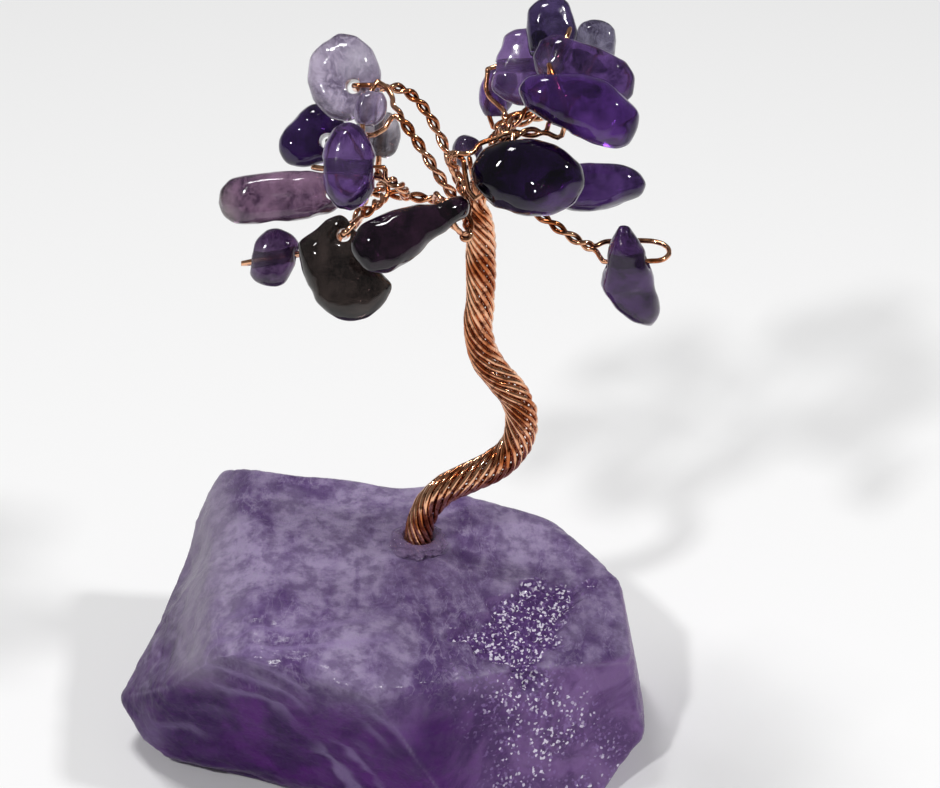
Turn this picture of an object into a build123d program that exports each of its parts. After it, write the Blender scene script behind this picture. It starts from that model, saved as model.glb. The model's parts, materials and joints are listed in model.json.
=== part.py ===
"""Gemstone tree ornament: drilled amethyst chips on twisted copper wire, set in a rough amethyst block.

Seven copper wires make the tree. Each one starts in the bore of the block, climbs the rope-laid trunk,
leaves it as a twisted limb, passes through the chips of that limb and comes back down beside itself.
Every chip hangs on the loop of wire that goes through its drilled hole.

Millimetres, +Z up. The origin is the middle of the flat that the block rests on, and +Y points away
from the side that the tree is dressed to be seen from.
"""

from build123d import *
from math import atan2, cos, pi, radians, sin, tan
import os

os.makedirs("parts", exist_ok=True)

# Driving sizes of the block
stone_width = 33.0
stone_depth = 21.0
stone_height = 12.35
stone_bevel = 0.8
bore_depth = 4.5
glue_height = 0.6
glue_spread = 1.3
glue_gap = 0.03

# Driving sizes of the wire
wire_diameter = 0.28
wire_gap = 0.02
trunk_rise = 24.95
trunk_sway = 6.3
bore_clearance = 0.12
loop_gap = 0.07
twist_end_gap = 0.4
eye_length = 1.8
eye_width = 0.2
eye_depth = 1.75

# Driving sizes of the chips
chip_length = 8.0
hole_diameter = 0.8

# Counts and angles
wire_sides = 5
ring_strands = 12
trunk_steps = 7
pair_steps = 5
round_sides = 16
hole_sides = 8
measuring_steps = 24
lay_angle = 28
twist_angle = 29
crown_lean = 35
hanging_lean = 0
stone_slope = 3.4

# Sizes that follow
wire_radius = wire_diameter / 2
strand_pitch = wire_diameter + wire_gap
trunk_half_step = radians(180 / trunk_steps)
strand_turn = radians(360 / ring_strands)
ring_chord = strand_pitch / (cos(radians(lay_angle)) * cos(trunk_half_step))
ring_radius = ring_chord / (2 * sin(strand_turn / 2))
trunk_lay = 2 * pi * ring_radius / tan(radians(lay_angle))
pair_radius = strand_pitch / (2 * cos(radians(180 / pair_steps)))
pair_lay = 2 * pi * pair_radius / tan(radians(twist_angle))
trunk_radius = ring_radius + wire_radius
bore_radius = trunk_radius + bore_clearance


# The block: a rough piece with its corners broken off along flat faces
def block_place(shares):
    across, back, up = shares
    return Vector(across * stone_width / 2, back * stone_depth / 2, up * stone_height)


foot_shares = (0.128, 0.262, 1.0)
foot_place = block_place(foot_shares)
rough_depth_share = 1.15
rough_height_share = 1.2
side_cut_shares = [
    ((-0.58, 0.09, 1.06), (-0.80, -0.06, 0.60)),
    ((-0.68, 0.92, 1.00), (-0.90, 0.44, 0.00)),
    ((-0.95, -0.28, 0.20), (-0.80, -0.60, 0.10)),
    ((-0.46, -0.64, 0.14), (-0.345, -0.925, -0.15)),
    ((0.55, -0.62, 0.81), (0.437, -0.851, 0.29)),
    ((0.98, -0.29, 0.24), (0.985, 0.06, 0.17)),
    ((0.53, 0.09, 0.968), (0.34, -0.22, 0.91)),
    ((0.78, 0.36, 0.95), (0.78, 0.56, 0.27)),
    ((0.39, 0.83, 0.98), (0.35, 0.93, 0.06)),
    ((-0.20, 1.00, 1.03), (0.10, 0.99, 0.09)),
]
under_cut_shares = [
    ((-0.91, -0.05, 0.12), (-0.70, -0.10, -0.70)),
    ((-0.30, -0.72, 0.10), (-0.25, -0.70, -0.66)),
    ((0.90, -0.40, 0.08), (0.80, -0.30, -0.60)),
]
top_slope = Plane(origin=foot_place, z_dir=Vector(tan(radians(stone_slope)), 0, 1))


def cut_plane(place_shares, outward):
    """The flat face that one break leaves on the block."""
    return Plane(origin=block_place(place_shares), z_dir=Vector(*outward))


def rim_plane(place_shares, outward):
    """The flat worn along the edge where a side of the block meets its top."""
    side = Vector(*outward).normalized()
    between = side + top_slope.z_dir
    reach = side.dot(block_place(place_shares)) + top_slope.z_dir.dot(foot_place)
    return Plane(origin=between.normalized() * (reach / between.length - stone_bevel), z_dir=between)


with BuildPart() as base_stone:
    with BuildSketch():
        Rectangle(stone_width, rough_depth_share * stone_depth)
    extrude(amount=rough_height_share * stone_height)
    split(bisect_by=top_slope, keep=Keep.BOTTOM)
    for place_shares, outward in side_cut_shares + under_cut_shares:
        split(bisect_by=cut_plane(place_shares, outward), keep=Keep.BOTTOM)
    for place_shares, outward in side_cut_shares:
        split(bisect_by=rim_plane(place_shares, outward), keep=Keep.BOTTOM)
    with BuildSketch(Plane(origin=foot_place - Vector(0, 0, bore_depth))):
        RegularPolygon(bore_radius, round_sides, major_radius=False)
    extrude(amount=2 * bore_depth, mode=Mode.SUBTRACT)
base_stone.part.label = "base_stone"
export_step(base_stone.part, "parts/base_stone.step")

# The bead of clear glue round the trunk, on the block's top
glue_layers_shares = [(0.0, 1.0), (0.45, 0.86), (0.8, 0.6), (1.0, 0.25)]
with BuildPart() as glue_bead:
    for rise_share, spread_share in glue_layers_shares:
        with BuildSketch(top_slope.offset(glue_gap + rise_share * glue_height)):
            RegularPolygon(bore_radius + spread_share * glue_spread, round_sides)
    loft(ruled=True)
    with BuildSketch(top_slope.offset(-glue_height)):
        RegularPolygon(bore_radius, round_sides, major_radius=False)
    extrude(amount=3 * glue_height, mode=Mode.SUBTRACT)
glue_bead.part.label = "glue_bead"
export_step(glue_bead.part, "parts/glue_bead.step")

# The trunk's middle line above the block, as shares of its sway and rise, up to the fork
trunk_shares = [
    (0.0, 0.0, 0.0), (0.05, 0.0, 0.085), (0.2, 0.0, 0.15), (0.52, 0.0, 0.205), (0.85, 0.0, 0.262),
    (1.0, 0.0, 0.36), (0.92, 0.0, 0.45), (0.73, 0.0, 0.52), (0.6, 0.0, 0.6), (0.6, 0.0, 0.72),
    (0.61, 0.0, 0.86), (0.527, -0.04, 1.0),
]
trunk_points = [
    foot_place + Vector(across * trunk_sway, back * trunk_sway, up * trunk_rise)
    for across, back, up in trunk_shares
]
fork_place = trunk_points[-1]

# The chips: an outline in the plane of the chip, stepped down to its two flats
oval_shares = [
    (1.0, 0.0), (0.86, 0.52), (0.5, 0.88), (0.04, 1.0), (-0.46, 0.9), (-0.85, 0.54),
    (-1.0, 0.04), (-0.88, -0.48), (-0.52, -0.86), (0.0, -1.0), (0.5, -0.88), (0.87, -0.5),
]
rod_shares = [
    (1.0, 0.05), (0.94, 0.6), (0.74, 0.94), (0.1, 1.0), (-0.72, 0.86), (-0.95, 0.52),
    (-1.0, -0.05), (-0.92, -0.62), (-0.7, -0.94), (0.1, -1.0), (0.78, -0.88), (0.96, -0.45),
]
slab_shares = [
    (1.0, -0.1), (0.93, 0.45), (0.66, 0.84), (-0.05, 0.94), (-0.72, 0.9), (-0.98, 0.4),
    (-1.0, -0.25), (-0.76, -0.78), (-0.2, -1.0), (0.38, -0.92), (0.8, -0.7), (0.96, -0.42),
]
pear_shares = [
    (1.0, 0.1), (0.92, 0.66), (0.62, 0.98), (0.2, 0.92), (-0.4, 0.62), (-0.88, 0.42),
    (-1.0, 0.04), (-0.92, -0.32), (-0.4, -0.62), (0.16, -0.9), (0.66, -0.94), (0.93, -0.52),
]
wedge_shares = [
    (1.0, 0.3), (0.86, 0.74), (0.4, 0.95), (-0.2, 0.94), (-0.76, 0.74), (-1.0, 0.3),
    (-0.97, -0.26), (-0.7, -0.78), (-0.2, -1.0), (0.25, -0.8), (0.68, -0.4), (0.94, -0.06),
]
bean_shares = [
    (1.0, -0.14), (0.95, 0.46), (0.77, 0.86), (0.2, 0.8), (-0.53, 1.0), (-0.9, 0.9),
    (-1.0, 0.28), (-0.95, -0.48), (-0.49, -0.79), (0.14, -1.0), (0.65, -0.85), (0.89, -0.54),
]
bulge_shares = [
    (1.0, 0.06), (0.92, 0.55), (0.25, 1.0), (-0.23, 0.83), (-0.7, 0.44), (-0.99, 0.08),
    (-1.0, -0.43), (-0.79, -0.87), (-0.06, -1.0), (0.47, -0.99), (0.81, -0.84), (0.99, -0.54),
]
drop_shares = [
    (1.0, 0.49), (0.68, 0.93), (0.3, 1.0), (-0.1, 0.99), (-0.44, 0.95), (-0.94, 0.62),
    (-1.0, 0.21), (-0.8, -0.14), (-0.52, -0.51), (0.01, -1.0), (0.42, -0.73), (0.77, -0.16),
]
chip_layers_shares = [(-1.0, 0.56), (-0.76, 0.83), (-0.1, 1.0), (0.4, 0.95), (0.82, 0.78), (1.0, 0.56)]

# name: outline, middle from the fork, length, width, thickness as shares of the chip length;
# heading, tip and lean of the chip; hole as shares of half length and half width; headings of the loop.
# One loop heading is a hole through the two faces, held from that side. Three are a hole from edge to
# edge: the heading of the bore, of the twist's end seen from the hole, and of the twist as it arrives.
chips = {
    "pale_lilac": (oval_shares, (-0.91, 0.41, 0.77), (0.66, 0.55, 0.27),
        (98, 0, 0), (-0.24, -0.22), (0,)),
    "lens_lilac": (oval_shares, (-0.72, 0.06, 0.72), (0.32, 0.26, 0.2),
        (75, 0, 0), (0.0, 0.0), (75, -12, 130)),
    "grey_lilac": (oval_shares, (-0.68, 0.52, 0.25), (0.42, 0.35, 0.22),
        (110, 0, 0), (-0.2, 0.0), (-95, -95, 85)),
    "deep_violet": (wedge_shares, (-1.17, 0.72, 0.11), (0.54, 0.48, 0.27),
        (190, 0, 0), (-0.4, 0.3), (-60,)),
    "violet_oval": (oval_shares, (-0.86, -0.36, 0.49), (0.66, 0.41, 0.29),
        (-88, 0, 0), (0.0, 0.0), (0, -18, 165)),
    "rose_rod": (rod_shares, (-1.37, 0.04, 0.0), (0.92, 0.38, 0.33),
        (184, 0, 0), (-0.8, 0.0), (4,)),
    "lilac_shard": (slab_shares, (-1.43, -0.08, -0.44), (0.45, 0.36, 0.24),
        (-112, 0, 0), (0, 0), (10, 10, 190)),
    "smoky": (bean_shares, (-0.92, -0.52, -0.28), (0.78, 0.58, 0.30),
        (-53, 0, 0), (-0.5, 0.58), (48,)),
    "plum": (pear_shares, (-0.42, -0.72, 0.20), (0.95, 0.42, 0.28),
        (207, 12, 0), (-0.6, 0.0), (-60, -50, 130)),
    "violet_sliver": (oval_shares, (0.19, 1.05, 0.29), (0.46, 0.3, 0.2),
        (82, 0, 0), (0, 0), (-98, -70, 110)),
    "violet_slab": (slab_shares, (0.37, 0.88, 0.60), (0.6, 0.46, 0.25),
        (80, 0, 0), (0, 0), (185, -108, 58)),
    "indigo_top": (slab_shares, (0.57, 0.78, 0.95), (0.5, 0.40, 0.25),
        (95, 0, 0), (-0.45, 0.0), (275,)),
    "grey_violet": (slab_shares, (0.89, 1.0, 0.70), (0.42, 0.36, 0.2),
        (75, 0, 0), (-0.4, 0.0), (255,)),
    "royal_purple": (slab_shares, (0.79, 0.32, 0.88), (0.8, 0.42, 0.24),
        (-22, 0, 0), (-0.5, 0), (-112, -112, 68)),
    "large_front": (bulge_shares, (0.75, -0.13, 0.87), (0.90, 0.46, 0.33),
        (-25, 0, 0), (-0.3, -0.4), (-80, -118, -5)),
    "big_dark": (oval_shares, (0.39, -0.43, 0.45), (0.84, 0.56, 0.37),
        (-8, 6, 0), (-0.62, 0.0), (240, 150, -20)),
    "long_violet": (oval_shares, (0.87, 0.05, 0.08), (0.78, 0.38, 0.3),
        (3, 0, 0), (-0.6, 0.0), (183,)),
    "grey_back": (oval_shares, (-0.03, 0.58, 0.06), (0.3, 0.25, 0.2),
        (100, 0, 0), (-0.4, 0.0), (280,)),
    "hanging_violet": (drop_shares, (1.10, -0.43, -0.40), (0.93, 0.4, 0.28),
        (-76, 0, 0), (-0.35, -0.05), (0, 180, -20)),
}
swinging_chip = "hanging_violet"


def chip_plane(place_shares, angles, back_angle):
    """The plane of a chip: leaning back, its flats to the front, then turned by heading, tip and lean."""
    heading, tip, lean = [radians(angle) for angle in angles]
    front = Vector(0, -cos(radians(back_angle)), sin(radians(back_angle)))
    upward = Vector(0, sin(radians(back_angle)), cos(radians(back_angle)))
    level = Vector(1, 0, 0) * cos(heading) + upward * sin(heading)
    along = level * cos(tip) + front * sin(tip)
    face = front * cos(tip) - level * sin(tip)
    flat = face * cos(lean) + face.cross(along) * sin(lean)
    return Plane(origin=fork_place + Vector(*place_shares) * chip_length, x_dir=along, z_dir=flat)


def edge_reach(outline, start, angle):
    """How far the outline lies from a point inside it, in the direction of the angle."""
    aim = Vector(cos(radians(angle)), sin(radians(angle)))
    reach = 0
    for first, second in zip(outline, outline[1:] + outline[:1]):
        side = second - first
        across = aim.X * side.Y - aim.Y * side.X
        gap = first - start
        if across == 0:
            continue
        along_aim = (gap.X * side.Y - gap.Y * side.X) / across
        along_side = (gap.X * aim.Y - gap.Y * aim.X) / across
        if 0 <= along_side <= 1 and along_aim > 0:
            reach = max(reach, along_aim)
    return reach


loops = {}
for name, (form_shares, place_shares, size_shares, angles, hole_shares, headings) in chips.items():
    half_length, half_width, half_thick = [share * chip_length / 2 for share in size_shares]
    plane = chip_plane(place_shares, angles, hanging_lean if name == swinging_chip else crown_lean)
    outline = [Vector(across * half_length, up * half_width) for across, up in form_shares]
    hole = Vector(hole_shares[0] * half_length, hole_shares[1] * half_width)
    turns = [heading - angles[0] for heading in headings]
    aims = [plane.x_dir * cos(radians(turn)) + plane.y_dir * sin(radians(turn)) for turn in turns]
    bore_dir = aims[0] if len(aims) > 1 else plane.z_dir
    hole_place = plane.from_local_coords(hole)
    bore_plane = Plane(origin=hole_place, x_dir=aims[0].cross(plane.z_dir), z_dir=bore_dir)
    with BuildPart() as chip:
        for level_share, spread_share in chip_layers_shares:
            with BuildSketch(plane.offset(level_share * half_thick)):
                Polygon(*[point * spread_share for point in outline])
        loft(ruled=True)
        with BuildSketch(bore_plane):
            RegularPolygon(hole_diameter / 2, hole_sides, major_radius=False)
        extrude(amount=chip_length, both=True, mode=Mode.SUBTRACT)
    chip.part.label = name + "_chip"
    export_step(chip.part, "parts/" + name + "_chip.step")
    loops[name] = {
        "hole": hole_place,
        "plane": plane,
        "outline": outline,
        "start": hole,
        "turns": turns,
        "aims": aims,
        "rise": half_thick + wire_radius + loop_gap,
    }


# The wires
def spot(loop, turn, along, up):
    """A place beside a chip: out from its hole at an angle in its plane, and off that plane."""
    out = loop["plane"].x_dir * cos(radians(turn)) + loop["plane"].y_dir * sin(radians(turn))
    return loop["hole"] + out * along + loop["plane"].z_dir * up


def rim(loop, turn):
    """How far out from the hole the chip's edge lies."""
    return edge_reach(loop["outline"], loop["start"], turn)


face_route_shares = [
    (1.0, 0.55, 0.6), (0.85, 0.0, 1.0), (0.45, 0.0, 1.02), (0.08, 0.0, 1.0), (0.0, 0.0, 0.55),
]
around_shares = [0.22, 0.42, 0.6, 0.78, 0.92]
behind_route_shares = [(-1.0, -0.45), (-0.8, -0.95), (0.0, -1.02)]
behind_end_share = 0.5
behind_reach_share = 0.75
eye_route_shares = [
    (1.05, 0.0, 0.02), (1.3, 0.0, 0.06), (1.52, 0.2, 0.22), (1.62, 0.6, 0.48), (1.5, 1.0, 0.76),
    (1.24, 1.2, 0.94), (0.9, 1.2, 1.02), (0.3, 1.1, 1.04), (-0.3, 1.0, 1.04), (-0.9, 1.0, 1.0),
]
eye_end_shares = (1.3, 0.8, 0.66)
eye_start_shares = (1.1, 0.2, 0.16)


def face_loop(loop):
    """Round one side of a chip and through its faces."""
    turn = loop["turns"][0]
    edge = rim(loop, turn)
    past = wire_radius + twist_end_gap
    rise = loop["rise"]
    side = [(edge_share * edge + past_share * past, rise_share * rise)
            for edge_share, past_share, rise_share in face_route_shares]
    upper = [spot(loop, turn, along, up) for along, up in side]
    lower = [spot(loop, turn, along, -up) for along, up in reversed(side)]
    return spot(loop, turn, edge + past, 0), loop["aims"][0] * -1, loop["plane"].z_dir, upper + lower


def around_loop(loop):
    """Both ways round one end of a chip, in its plane, to a hole from edge to edge."""
    bore, end, _ = loop["turns"]
    clear = wire_radius + 2 * loop_gap
    turn = (bore - end + 180) % 360 - 180
    near = [end + share * turn for share in around_shares] + [bore]
    far_turn = turn - 180 if turn > 0 else turn + 180
    far = [end + share * far_turn for share in around_shares] + [bore + 180]
    first = [spot(loop, angle, rim(loop, angle) + clear, 0) for angle in near]
    second = [spot(loop, angle, rim(loop, angle) + clear, 0) for angle in far]
    place = spot(loop, end, rim(loop, end) + wire_radius + twist_end_gap, 0)
    return place, loop["aims"][2], loop["aims"][0], first + second[::-1]


def behind_loop(loop):
    """In at one edge of a chip, out at the other and back behind it."""
    bore, end, _ = loop["turns"]
    clear = wire_radius + 2 * loop_gap
    near = rim(loop, bore) + clear
    far = rim(loop, bore + 180) + clear
    rise = loop["rise"]
    points = [spot(loop, bore, near, 0), spot(loop, bore, -far, 0)]
    points += [spot(loop, bore, share * far, up_share * rise) for share, up_share in behind_route_shares]
    points.append(spot(loop, end, behind_reach_share * rim(loop, end), -rise))
    place = spot(loop, end, rim(loop, end) + wire_radius + twist_end_gap, -behind_end_share * rise)
    return place, loop["aims"][2], loop["plane"].z_dir, points


def open_eye(loop):
    """For the chip that swings: in at one edge, round an open eye past the other and back well behind."""
    bore, end, _ = loop["turns"]
    far = rim(loop, bore)
    near = rim(loop, end)
    crest = loop["plane"].z_dir.cross(loop["aims"][0])

    def eye_spot(side_share, crest_share, depth_share):
        half = far if side_share > 0 else near
        past = max(abs(side_share) - 1, 0) * eye_length
        along = min(abs(side_share), 1) * half + past
        place = spot(loop, bore if side_share > 0 else end, along, -depth_share * eye_depth)
        return place + crest * (crest_share * eye_width)

    start_share, start_crest, start_depth = eye_start_shares
    end_share, end_crest, end_depth = eye_end_shares
    first = eye_spot(-start_share, start_crest, start_depth)
    points = [first, spot(loop, end, near, 0)] + [eye_spot(*shares) for shares in eye_route_shares]
    return eye_spot(-end_share, end_crest, end_depth), loop["aims"][2], loop["plane"].z_dir, points


def loop_of(name):
    """The end of the twist at a chip, the way it arrives, its side, and the points of the loop."""
    loop = loops[name]
    if name == swinging_chip:
        return open_eye(loop)
    if len(loop["turns"]) == 1:
        return face_loop(loop)
    if abs(loop["aims"][0].dot(loop["aims"][1])) < cos(radians(60)):
        return around_loop(loop)
    return behind_loop(loop)


def swung(vector, axis, angle):
    """A vector turned about an axis by an angle in radians."""
    along = axis * axis.dot(vector)
    return along + (vector - along) * cos(angle) + axis.cross(vector) * sin(angle)


def square_to(vector, axis):
    """The unit part of a vector that stands square to an axis."""
    return (vector - axis * vector.dot(axis)).normalized()


def curve(start, start_dir, end, end_dir, count, ease):
    """Points and directions along a cubic curve between two placed directions."""
    hold = ease * (end - start).length
    first = start + start_dir * hold
    last = end - end_dir * hold
    places = []
    ways = []
    for step in range(count + 1):
        t = step / count
        u = 1 - t
        places.append(start * u**3 + first * (3 * u * u * t) + last * (3 * u * t * t) + end * t**3)
        way = (first - start) * (u * u) + (last - first) * (2 * u * t) + (end - last) * (t * t)
        ways.append(way.normalized())
    return places, ways


def carried(side, ways):
    """The side direction carried along a curve without turning about it."""
    sides = [square_to(side, ways[0])]
    for way in ways[1:]:
        sides.append(square_to(sides[-1], way))
    return sides


def twisted_pair(start, start_dir, start_side, end, end_dir, end_side, ease):
    """The two legs of a left-handed twist, and whether the first leg ends on the end side."""
    places, ways = curve(start, start_dir, end, end_dir, measuring_steps, ease)
    length = sum((after - before).length for before, after in zip(places, places[1:]))
    side = carried(start_side, ways)[-1]
    wanted = square_to(end_side, ways[-1])
    off = atan2(ways[-1].dot(side.cross(wanted)), side.dot(wanted))
    halves = round((-2 * pi * length / pair_lay - off) / pi)
    turn = off + halves * pi
    count = max(2, round(abs(turn) * pair_steps / (2 * pi)))
    places, ways = curve(start, start_dir, end, end_dir, count, ease)
    first = []
    second = []
    for step, side in enumerate(carried(start_side, ways)):
        out = swung(side, ways[step], turn * step / count) * pair_radius
        first.append(places[step] + out)
        second.append(places[step] - out)
    return first, second, halves % 2 == 0


# The trunk's strands, from the bottom of the bore to the fork
with BuildLine() as trunk_line:
    Spline(foot_place - Vector(0, 0, bore_depth - 2 * wire_diameter), *trunk_points,
           tangents=[(0, 0, 1), (-0.25, 0, 1)])
trunk_axis = trunk_line.edge()
trunk_count = round(trunk_axis.length / trunk_lay * trunk_steps)
trunk_places = [trunk_axis.position_at(step / trunk_count) for step in range(trunk_count + 1)]
trunk_ways = [trunk_axis.tangent_at(step / trunk_count) for step in range(trunk_count + 1)]
trunk_sides = carried(Vector(1, 0, 0), trunk_ways)
swell_shares = [(0.0, 1.0), (0.22, 1.03), (0.32, 1.13), (0.5, 1.15), (0.62, 1.06), (0.72, 1.0), (1.0, 1.0)]


def swell(share):
    """How much the rope swells where it bends."""
    for (low, small), (high, large) in zip(swell_shares, swell_shares[1:]):
        if low <= share <= high:
            return small + (large - small) * (share - low) / (high - low)
    return 1


def trunk_strand(top_angle, radius):
    """One strand of the trunk, wound left-handed up to its angle at the fork."""
    points = []
    for step in range(trunk_count + 1):
        angle = top_angle + 2 * pi * (trunk_count - step) / trunk_steps
        out = swung(trunk_sides[step], trunk_ways[step], angle)
        points.append(trunk_places[step] + out * radius * swell(step / trunk_count))
    return points


twig_ease_share = 0.3
twig_lean_share = 0.6


def with_twigs(strands, twigs):
    """The two legs of a limb, each with its detours out to the side chips and back."""
    detours = {}
    count = len(strands[0]) - 1
    for name, share in twigs:
        end, end_dir, end_side, loop_points = loop_of(name)
        wanted = round(share * count)
        best = None
        for leg in (0, 1):
            for index in range(max(1, wanted - 2), min(count - 1, wanted + 3)):
                if any((leg, near) in detours for near in (index - 1, index, index + 1)):
                    continue
                first, second = strands[leg][index], strands[leg][index + 1]
                across = strands[1 - leg][index] + strands[1 - leg][index + 1]
                out = (first + second - across).normalized()
                facing = out.dot((end - (first + second) / 2).normalized())
                if best is None or facing > best[0]:
                    best = (facing, leg, index, out)
        _, leg, index, out = best
        first, second = strands[leg][index], strands[leg][index + 1]
        start = (first + second) / 2
        beside = second - first
        leave = square_to(out * twig_lean_share + (end - start).normalized(), beside.normalized())
        back, forth, same = twisted_pair(start, leave, beside, end, end_dir, end_side, twig_ease_share)
        round_hole = loop_points[::-1] if same else loop_points
        detours[(leg, index)] = forth[1:] + round_hole + back[:0:-1]
    legs = []
    for leg in (0, 1):
        points = []
        for index, point in enumerate(strands[leg]):
            points.append(point)
            points.extend(detours.get((leg, index), []))
        legs.append(points)
    return legs


# name: chip at the end, angle round the fork, rise of the limb as it leaves, ease of its curve,
# side chips and their places along the limb
wires = {
    "left_front_wire": ("lens_lilac", 240, 1.2, 0.3, []),
    "left_rear_wire": ("pale_lilac", 120, 1.2, 0.3, [("grey_back", 0.15)]),
    "left_low_wire": ("rose_rod", 180, 0.3, 0.3, [
        ("violet_oval", 0.42), ("smoky", 0.55), ("grey_lilac", 0.68), ("deep_violet", 0.8),
        ("lilac_shard", 0.92),
    ]),
    "right_low_wire": ("hanging_violet", 0, 0.15, 0.3, [("long_violet", 0.3)]),
    "right_high_wire": ("violet_slab", 60, 1.6, 0.3, [
        ("violet_sliver", 0.6), ("indigo_top", 0.74), ("grey_violet", 0.86),
    ]),
    "right_front_wire": ("large_front", 300, 3.0, 0.5, [("royal_purple", 0.75)]),
    "core_wire": ("big_dark", 260, 3.0, 0.35, [("plum", 0.35)]),
}


def wire_points(name):
    """The whole route of one wire: up the trunk, out along the limb, round the chip and back."""
    end_chip, fork_angle, lift, ease, twigs = wires[name]
    middle = radians(fork_angle)
    if name == "core_wire":
        legs = [trunk_strand(middle, pair_radius), trunk_strand(middle + pi, pair_radius)]
    else:
        legs = [trunk_strand(middle + half * strand_turn / 2, ring_radius) for half in (1, -1)]
    start = (legs[0][-1] + legs[1][-1]) / 2
    out = swung(trunk_sides[-1], trunk_ways[-1], middle)
    leave = (out + trunk_ways[-1] * lift).normalized()
    end, end_dir, end_side, loop_points = loop_of(end_chip)
    beside = legs[0][-1] - legs[1][-1]
    first, second, same = twisted_pair(start, leave, beside, end, end_dir, end_side, ease)
    first, second = with_twigs((first, second), twigs)
    round_hole = loop_points if same else loop_points[::-1]
    return legs[0] + first[1:] + round_hole + second[:0:-1] + legs[1][::-1]


for name in wires:
    points = wire_points(name)
    with BuildPart() as wire:
        with BuildLine() as route:
            Polyline(*points)
        with BuildSketch(Plane(origin=points[0], z_dir=points[1] - points[0])):
            RegularPolygon(wire_radius, wire_sides)
        sweep(transition=Transition.RIGHT)
    length = sum((after - before).length for before, after in zip(points, points[1:]))
    print(name, len(points), "points", round(length, 1), "mm", round(wire.part.volume / length, 5), "mm2")
    wire.part.label = name
    export_step(wire.part, "parts/" + name + ".step")
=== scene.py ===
import json
from collections import namedtuple
from math import exp, radians
import bmesh
import bpy
from mathutils import Matrix, Vector, kdtree, noise


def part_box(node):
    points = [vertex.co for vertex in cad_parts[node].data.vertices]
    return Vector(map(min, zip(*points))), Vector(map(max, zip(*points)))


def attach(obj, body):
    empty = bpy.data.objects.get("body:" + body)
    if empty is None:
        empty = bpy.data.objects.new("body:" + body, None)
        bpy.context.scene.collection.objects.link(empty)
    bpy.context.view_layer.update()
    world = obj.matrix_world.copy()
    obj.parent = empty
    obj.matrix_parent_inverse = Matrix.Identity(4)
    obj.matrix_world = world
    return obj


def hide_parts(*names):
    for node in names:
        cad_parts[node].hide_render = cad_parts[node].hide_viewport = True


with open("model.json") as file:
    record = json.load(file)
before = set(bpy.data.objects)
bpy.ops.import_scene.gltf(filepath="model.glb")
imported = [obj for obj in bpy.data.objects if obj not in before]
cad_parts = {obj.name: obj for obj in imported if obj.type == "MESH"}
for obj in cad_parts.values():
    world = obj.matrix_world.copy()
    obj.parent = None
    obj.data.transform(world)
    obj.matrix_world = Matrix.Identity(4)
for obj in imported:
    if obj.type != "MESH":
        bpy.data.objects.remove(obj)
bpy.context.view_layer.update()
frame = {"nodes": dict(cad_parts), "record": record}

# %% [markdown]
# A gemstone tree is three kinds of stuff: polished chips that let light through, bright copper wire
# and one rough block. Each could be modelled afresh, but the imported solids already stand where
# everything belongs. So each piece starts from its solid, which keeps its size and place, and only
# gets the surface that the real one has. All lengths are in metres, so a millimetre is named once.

mm = 0.001
bodies = frame["record"]["behaviour"]["bodies"]
node_body = {node: body for body, nodes in bodies.items() for node in nodes}
slots = {entry["node"]: entry["material_slot"] for entry in frame["record"]["subparts"]}


def in_mm(place, digits=2):
    """A place in millimetres, rounded for printing."""
    return [round(value / mm, digits) for value in place]


# %% [markdown]
# The photograph looks down on the tree from in front. A short lens close by would spread the block
# towards the viewer, which the photo doesn't show. So the camera stands far back with a long lens.

# %% The camera
camera_place = Vector((5.3084, -155.8073, 134.596)) * mm
camera_tilt = radians(55)
lens_length = 124.142
nearest_seen = 5 * mm
furthest_seen = 10

bpy.ops.object.camera_add(location=camera_place, rotation=(camera_tilt, 0, 0))
camera = bpy.context.object
camera.data.lens = lens_length
camera.data.clip_start = nearest_seen
camera.data.clip_end = furthest_seen
bpy.context.scene.camera = camera
print("camera at", in_mm(camera.location, 1))

# %% [markdown]
# A solid comes in as loose triangles. Smoothed as it is, it would fall apart at their edges, so its
# copy first gets its doubled corners merged. The same few steps repeat for every piece. They could be
# written out each time, but as helpers each one is explained and put right in one place.

# %% Helpers for every piece
merge_gap = 0.002 * mm
smooth_factor = 0.5


def activate(piece):
    """Makes a piece the only selected and active object."""
    bpy.ops.object.select_all(action="DESELECT")
    piece.select_set(True)
    bpy.context.view_layer.objects.active = piece


def copy_of(node, name):
    """A copy of a solid with its own mesh and its doubled corners merged."""
    piece = frame["nodes"][node].copy()
    piece.data = frame["nodes"][node].data.copy()
    piece.name = name
    piece.parent = None
    for key in list(piece.keys()):
        del piece[key]
    piece.data.materials.clear()
    bpy.context.scene.collection.objects.link(piece)
    activate(piece)
    bpy.ops.object.mode_set(mode="EDIT")
    bpy.ops.mesh.select_all(action="SELECT")
    bpy.ops.mesh.remove_doubles(threshold=merge_gap)
    bpy.ops.object.mode_set(mode="OBJECT")
    return piece


def rebuild(piece, voxel):
    """Rebuilds a piece as even small faces. It is done at a thousand times the size, where it is quick."""
    piece.data.transform(Matrix.Scale(1 / mm, 4))
    piece.data.remesh_voxel_size = voxel / mm
    activate(piece)
    bpy.ops.object.voxel_remesh()
    piece.data.transform(Matrix.Scale(mm, 4))


def smooth(piece, passes, group=""):
    """Smooths a piece, or only the points of one of its groups, more with each pass."""
    activate(piece)
    modifier = piece.modifiers.new("smooth", "SMOOTH")
    modifier.factor = smooth_factor
    modifier.iterations = passes
    modifier.vertex_group = group
    bpy.ops.object.modifier_apply(modifier=modifier.name)


def move_points(piece, places):
    """Puts the points of a piece at new places."""
    piece.data.vertices.foreach_set("co", [value for place in places for value in place])
    piece.data.update()


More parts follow.
